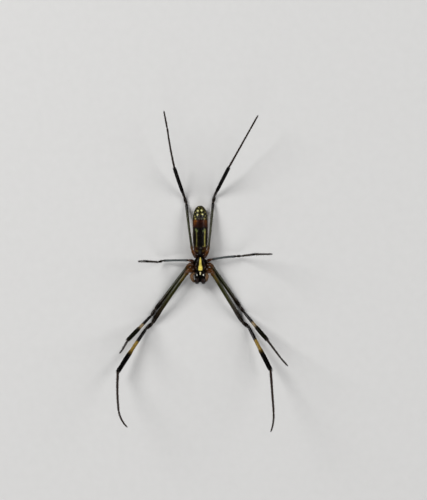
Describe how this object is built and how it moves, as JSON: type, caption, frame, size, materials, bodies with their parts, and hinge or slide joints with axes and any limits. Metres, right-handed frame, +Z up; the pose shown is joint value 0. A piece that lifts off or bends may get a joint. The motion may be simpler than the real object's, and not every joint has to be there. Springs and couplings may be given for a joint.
{
  "type": "golden silk orb weaver spider",
  "caption": "Still life-size model of a female golden silk orb weaver lying belly up, long banded legs drawn forward and back, slender striped abdomen.",
  "frame": {"origin": "on the floor, under the middle of the whole animal's outline", "axes": "+Z up from the back, which rests on the floor, to the belly; +Y towards the tail and the feet of legs IV; -Y towards the head; +X the side that a viewer over the belly has on the right with the tail up"},
  "size_m": [0.0542, 0.1012, 0.022],
  "materials": {
    "abdomen": "leathery skin, olive-brown to black with yellow bars and pale spots, fine short hair",
    "carapace": "dark hard shell under flat silvery hair",
    "sternum": "satin black plate with a yellow middle stripe",
    "mouth_and_tail_parts": "polished black-brown horn",
    "palps": "translucent amber-brown with fine hair",
    "short_leg": "grey-blue upper leg, black lower leg, satin",
    "coxa": "translucent rust-brown, glossy",
    "femur": "dark olive-green, glossy, black towards the knee",
    "tibia": "black with a yellow band and bristle brushes",
    "foot": "very dark brown, fine bristles"
  },
  "bodies": {
    "root": {"abdomen": "abdomen", "carapace": "carapace", "chelicera_left": "mouth_and_tail_parts", "chelicera_right": "mouth_and_tail_parts", "endite_left": "mouth_and_tail_parts", "endite_right": "mouth_and_tail_parts", "labium": "mouth_and_tail_parts", "leg_1_left_coxa": "coxa", "leg_1_left_femur": "femur", "leg_1_left_metatarsus": "foot", "leg_1_left_patella": "tibia", "leg_1_left_tarsus": "foot", "leg_1_left_tibia": "tibia", "leg_1_right_coxa": "coxa", "leg_1_right_femur": "femur", "leg_1_right_metatarsus": "foot", "leg_1_right_patella": "tibia", "leg_1_right_tarsus": "foot", "leg_1_right_tibia": "tibia", "leg_2_left_coxa": "coxa", "leg_2_left_femur": "femur", "leg_2_left_metatarsus": "foot", "leg_2_left_patella": "tibia", "leg_2_left_tarsus": "foot", "leg_2_left_tibia": "tibia", "leg_2_right_coxa": "coxa", "leg_2_right_femur": "femur", "leg_2_right_metatarsus": "foot", "leg_2_right_patella": "tibia", "leg_2_right_tarsus": "foot", "leg_2_right_tibia": "tibia", "leg_3_left_coxa": "short_leg", "leg_3_left_femur": "short_leg", "leg_3_left_metatarsus": "short_leg", "leg_3_left_patella": "short_leg", "leg_3_left_tibia": "short_leg", "leg_3_right_coxa": "short_leg", "leg_3_right_femur": "short_leg", "leg_3_right_metatarsus": "short_leg", "leg_3_right_patella": "short_leg", "leg_3_right_tibia": "short_leg", "leg_4_left_coxa": "coxa", "leg_4_left_femur": "femur", "leg_4_left_metatarsus": "foot", "leg_4_left_patella": "tibia", "leg_4_left_tarsus": "foot", "leg_4_left_tibia": "tibia", "leg_4_right_coxa": "coxa", "leg_4_right_femur": "femur", "leg_4_right_metatarsus": "foot", "leg_4_right_patella": "tibia", "leg_4_right_tarsus": "foot", "leg_4_right_tibia": "tibia", "palp_left": "palps", "palp_right": "palps", "pedicel": "mouth_and_tail_parts", "spinnerets": "mouth_and_tail_parts", "sternum": "sternum"}
  },
  "joints": []
}
